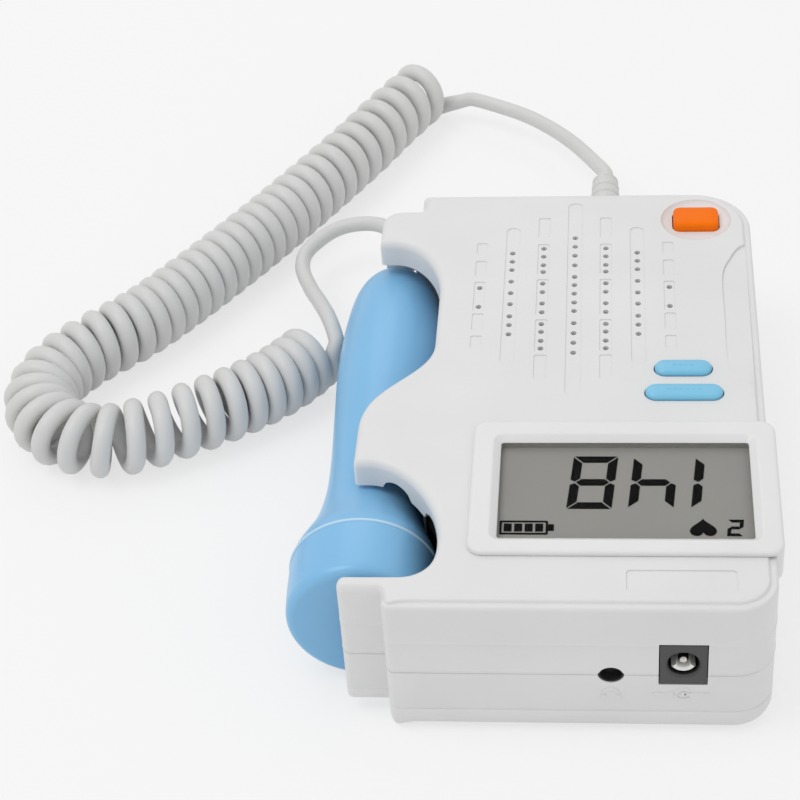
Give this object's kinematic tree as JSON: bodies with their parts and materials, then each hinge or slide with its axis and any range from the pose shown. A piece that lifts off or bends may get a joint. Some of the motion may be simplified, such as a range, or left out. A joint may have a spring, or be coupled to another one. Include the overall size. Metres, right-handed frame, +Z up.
{
  "type": "fetal doppler",
  "caption": "Desk-top fetal doppler with a display, speaker grille and keys, and an ultrasound probe parked in a side dock on a curly cord.",
  "frame": {"origin": "bottom centre of the unit's bounding box with its probe docked and without the cord, on the surface it stands on", "axes": "+Z up, +Y from the sockets towards the cord outlet, +X from the probe's dock towards the keys"},
  "size_m": [0.1714, 0.2274, 0.0362],
  "materials": {
    "case_top": "fine satin moulded plastic",
    "case_bottom": "fine satin moulded plastic",
    "window": "clear polished",
    "lcd": "polarizer film on glass",
    "white_plastic": "diffusing",
    "strip_rubber": "layered silicone",
    "circuit_board": "solder mask",
    "orange_key": "satin silicone",
    "blue_key": "satin silicone",
    "black_plastic": "moulded",
    "socket_plastic": "moulded",
    "nickel": "nickel plated",
    "steel": "zinc plated",
    "paper": "pulp paper",
    "cell": "printed sleeve, plain",
    "foot_rubber": "matte",
    "cord_jacket": "satin jacket",
    "probe_blue": "satin moulded plastic",
    "ceramic": "fired ceramic"
  },
  "bodies": {
    "unit": {"top_shell": "case_top", "bottom_shell": "case_bottom", "display_frame": "case_top", "display_window": "window", "lcd_glass": "lcd", "lcd_backlight": "white_plastic", "lcd_strip_near": "strip_rubber", "lcd_strip_far": "strip_rubber", "display_board": "circuit_board", "power_switch": "black_plastic", "small_key_switch": "black_plastic", "large_key_switch": "black_plastic", "key_board": "circuit_board", "main_board": "circuit_board", "headphone_jack": "black_plastic", "dc_jack": "socket_plastic", "dc_jack_pin": "nickel", "speaker_basket": "steel", "speaker_cone": "paper", "speaker_magnet": "steel", "battery_bay": "case_bottom", "battery_left": "cell", "battery_right": "cell", "battery_link": "nickel", "battery_terminal_left": "nickel", "battery_terminal_right": "nickel", "case_screw_1": "steel", "case_screw_2": "steel", "case_screw_3": "steel", "case_screw_4": "steel", "foot_1": "foot_rubber", "foot_2": "foot_rubber", "foot_3": "foot_rubber", "foot_4": "foot_rubber", "cord_gland": "cord_jacket", "cord_lead_unit": "cord_jacket"},
    "probe": {"probe_head_cap": "probe_blue", "probe_handle": "probe_blue", "transmit_crystal": "ceramic", "receive_crystal": "ceramic", "crystal_backing": "black_plastic", "probe_board": "circuit_board", "probe_strain_relief": "cord_jacket", "cord_lead_probe": "cord_jacket", "cord_coil": "cord_jacket"},
    "power_button": {"power_button": "orange_key"},
    "small_key": {"small_key": "blue_key"},
    "large_key": {"large_key": "blue_key"},
    "battery_door": {"battery_door": "case_bottom"}
  },
  "joints": [
    {"name": "probe_slide", "type": "slide", "parent": "unit", "child": "probe", "axis": [-1, 0, 0], "range_m": [0, 0.03]},
    {"name": "power_button_slide", "type": "slide", "parent": "unit", "child": "power_button", "axis": [0, 0, -1], "range_m": [0, 0.0005], "stiffness_N_per_m": 400},
    {"name": "small_key_slide", "type": "slide", "parent": "unit", "child": "small_key", "axis": [0, 0, -1], "range_m": [0, 0.0005], "stiffness_N_per_m": 400},
    {"name": "large_key_slide", "type": "slide", "parent": "unit", "child": "large_key", "axis": [0, 0, -1], "range_m": [0, 0.0005], "stiffness_N_per_m": 400},
    {"name": "battery_door_slide", "type": "slide", "parent": "unit", "child": "battery_door", "axis": [0, 1, 0], "range_m": [0, 0.068]}
  ]
}
